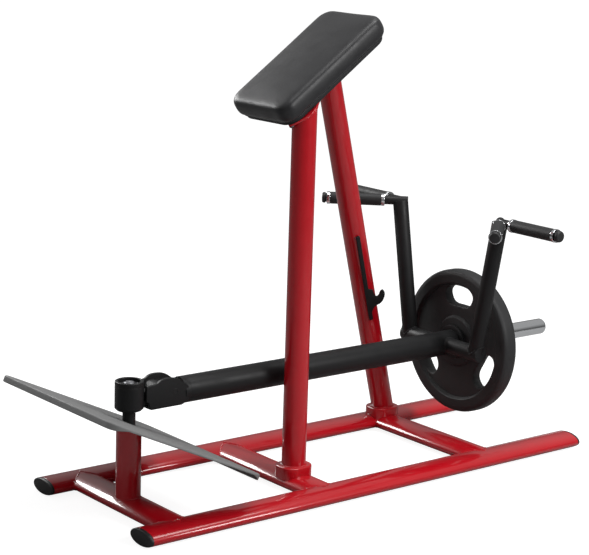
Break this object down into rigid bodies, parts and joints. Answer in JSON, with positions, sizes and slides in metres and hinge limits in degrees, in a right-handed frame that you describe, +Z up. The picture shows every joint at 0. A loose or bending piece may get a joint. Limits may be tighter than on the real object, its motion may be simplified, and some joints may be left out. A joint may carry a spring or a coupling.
{
  "type": "t-bar row machine",
  "caption": "Floor-standing lever row machine: chest pad on two leaning uprights, sloping foot plate, and a long swivelling lever with wide and angled handles and a loaded weight sleeve.",
  "frame": {"origin": "floor level, centred under the overall box", "axes": "+X runs along the rails from the foot plate to the weight sleeve, +Y runs across the machine, +Z is up"},
  "size_m": [1.8418, 0.9392, 1.3494],
  "materials": {
    "red_coat": "glossy",
    "black_coat": "satin",
    "grey_coat": "matt",
    "black_plastic": "satin",
    "chrome": "polished",
    "steel": "turned",
    "bronze": "turned",
    "grip_rubber": "matt",
    "plate_rubber": "matt",
    "seal_rubber": "matt",
    "board": "matt",
    "vinyl": "satin"
  },
  "bodies": {
    "base": {"cross_member_front": "red_coat", "cross_member_middle": "red_coat", "cross_member_rear": "red_coat", "foot_plate": "grey_coat", "foot_plate_mount": "red_coat", "front_post": "red_coat", "lever_catch": "black_coat", "pad_board": "board", "pad_cushion": "vinyl", "rail_cap_far_front": "black_plastic", "rail_cap_far_rear": "black_plastic", "rail_cap_near_front": "black_plastic", "rail_cap_near_rear": "black_plastic", "rail_far": "red_coat", "rail_near": "red_coat", "spindle": "steel", "spindle_circlip": "steel", "spindle_guide": "steel", "upright_front": "red_coat", "upright_front_bracket": "red_coat", "upright_front_bracket_screw_high": "steel", "upright_front_bracket_screw_low": "steel", "upright_front_flange": "red_coat", "upright_rear": "red_coat", "upright_rear_bracket": "red_coat", "upright_rear_bracket_screw_high": "steel", "upright_rear_bracket_screw_low": "steel", "upright_rear_flange": "red_coat"},
    "swivel": {"swivel_hub": "black_coat", "swivel_tongue": "black_coat", "hub_bearing_upper": "steel", "hub_bearing_lower": "steel", "hub_seal": "seal_rubber", "tongue_bush": "bronze"},
    "lever": {"grip_angled_far": "grip_rubber", "grip_angled_near": "grip_rubber", "grip_spool_angled_far": "chrome", "grip_spool_angled_near": "chrome", "grip_spool_wide_far": "chrome", "grip_spool_wide_near": "chrome", "grip_wide_far": "grip_rubber", "grip_wide_near": "grip_rubber", "handle_bar_angled_far": "black_coat", "handle_bar_angled_near": "black_coat", "handle_bar_wide_far": "black_coat", "handle_bar_wide_near": "black_coat", "handle_cap_angled_far": "black_plastic", "handle_cap_angled_near": "black_plastic", "handle_cap_wide_far": "black_plastic", "handle_cap_wide_near": "black_plastic", "handle_crossbar": "black_coat", "handle_upright_far": "black_coat", "handle_upright_near": "black_coat", "lever_arm": "black_coat", "lever_fork": "black_coat", "lever_pin": "black_coat", "plate_stop": "black_coat", "weight_sleeve": "chrome"},
    "plate": {"weight_plate": "plate_rubber", "plate_insert": "steel"}
  },
  "joints": [
    {"name": "swivel_turn", "type": "hinge", "parent": "base", "child": "swivel", "pos_m": [-0.67907, 0, 0.331], "axis": [0, 0, 1], "range_deg": [-2, 2.5]},
    {"name": "lever_lift", "type": "hinge", "parent": "swivel", "child": "lever", "pos_m": [-0.54907, 0, 0.329], "axis": [0, -1, 0], "range_deg": [0, 35]},
    {"name": "plate_slide", "type": "slide", "parent": "lever", "child": "plate", "axis": [1, 0, 0], "range_m": [0, 0.4]}
  ]
}
